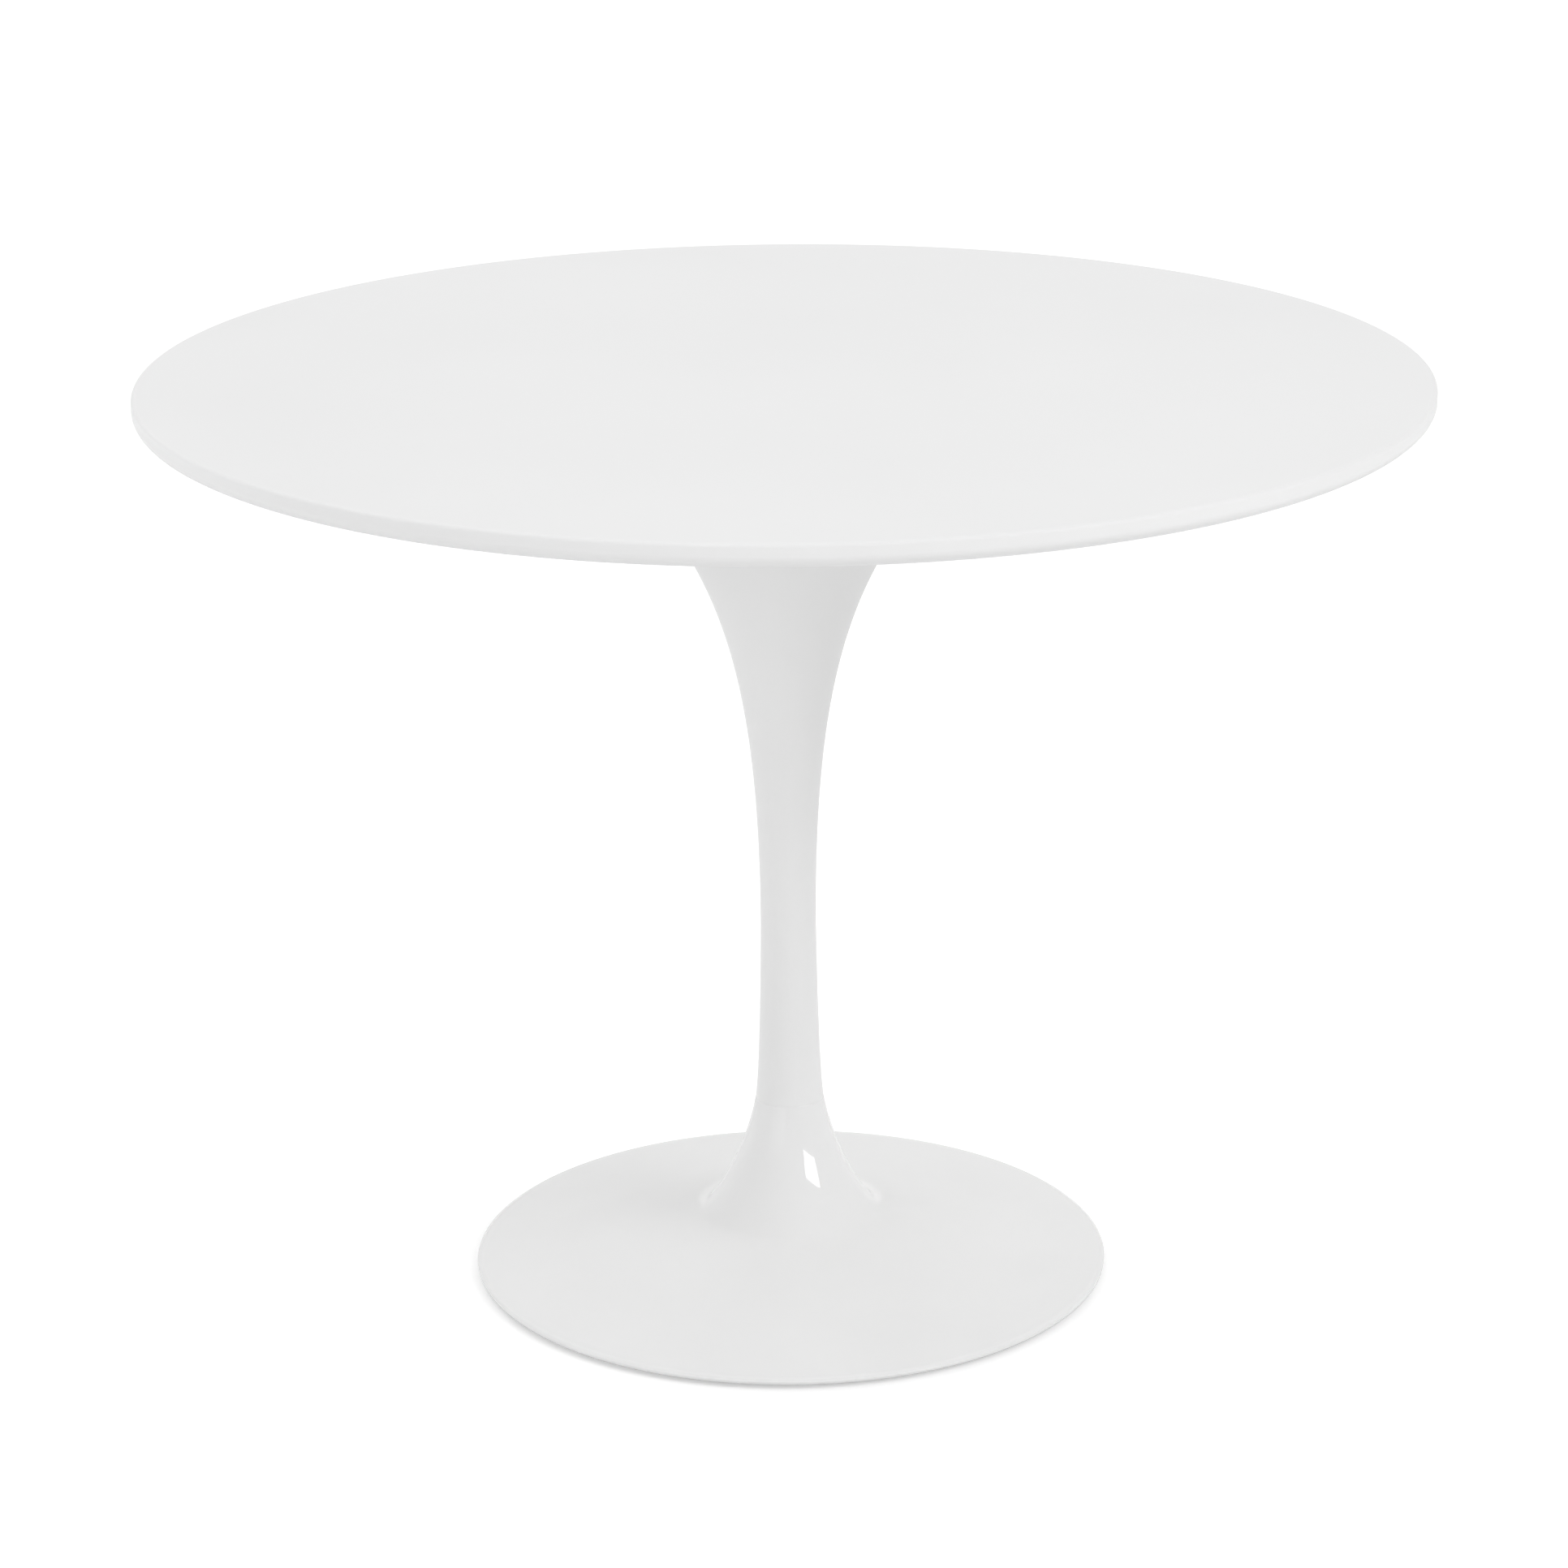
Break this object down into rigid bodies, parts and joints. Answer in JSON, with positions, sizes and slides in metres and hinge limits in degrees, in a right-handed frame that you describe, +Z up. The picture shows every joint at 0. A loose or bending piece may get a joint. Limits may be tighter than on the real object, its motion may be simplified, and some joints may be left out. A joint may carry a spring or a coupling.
{
  "type": "round pedestal table",
  "caption": "Round white dining table: thin lacquered disc top with a rounded under-edge on a trumpet-shaped column and a wide flared disc foot with levelling glides.",
  "frame": {"origin": "on the floor, on the table's axis, with the glides screwed right in", "axes": "+Z up along the column; -Y faces the viewer and passes through the first glide"},
  "size_m": [0.9999, 1, 0.738],
  "materials": {
    "tabletop_lacquer": "fine-grained board, sprayed and rubbed to a satin white lacquer",
    "column_coating": "satin white powder coat",
    "foot_enamel": "high-gloss white enamel on a casting",
    "black_coating": "fine-textured black powder coat",
    "zinc_plated_steel": "bright zinc plate",
    "insert_brass": "turned",
    "pad_nylon": "moulded grey nylon"
  },
  "bodies": {
    "table": {"tabletop": "tabletop_lacquer", "threaded_inserts": "insert_brass", "mounting_plate": "black_coating", "plate_screws": "zinc_plated_steel", "plate_washers": "zinc_plated_steel", "threaded_hub": "black_coating", "gusset_1": "black_coating", "gusset_2": "black_coating", "gusset_3": "black_coating", "gusset_4": "black_coating", "column": "column_coating", "tie_rod": "zinc_plated_steel", "tie_washer": "zinc_plated_steel", "spring_washer": "zinc_plated_steel", "tie_nut": "zinc_plated_steel", "foot": "foot_enamel"},
    "glide_1": {"glide_stud_1": "zinc_plated_steel", "glide_pad_1": "pad_nylon"},
    "glide_2": {"glide_stud_2": "zinc_plated_steel", "glide_pad_2": "pad_nylon"},
    "glide_3": {"glide_stud_3": "zinc_plated_steel", "glide_pad_3": "pad_nylon"},
    "glide_4": {"glide_stud_4": "zinc_plated_steel", "glide_pad_4": "pad_nylon"},
    "glide_5": {"glide_stud_5": "zinc_plated_steel", "glide_pad_5": "pad_nylon"}
  },
  "joints": [
    {"name": "glide_1_screw", "type": "slide", "parent": "table", "child": "glide_1", "axis": [0, 0, -1], "range_m": [0, 0.004]},
    {"name": "glide_2_screw", "type": "slide", "parent": "table", "child": "glide_2", "axis": [0, 0, -1], "range_m": [0, 0.004]},
    {"name": "glide_3_screw", "type": "slide", "parent": "table", "child": "glide_3", "axis": [0, 0, -1], "range_m": [0, 0.004]},
    {"name": "glide_4_screw", "type": "slide", "parent": "table", "child": "glide_4", "axis": [0, 0, -1], "range_m": [0, 0.004]},
    {"name": "glide_5_screw", "type": "slide", "parent": "table", "child": "glide_5", "axis": [0, 0, -1], "range_m": [0, 0.004]}
  ]
}
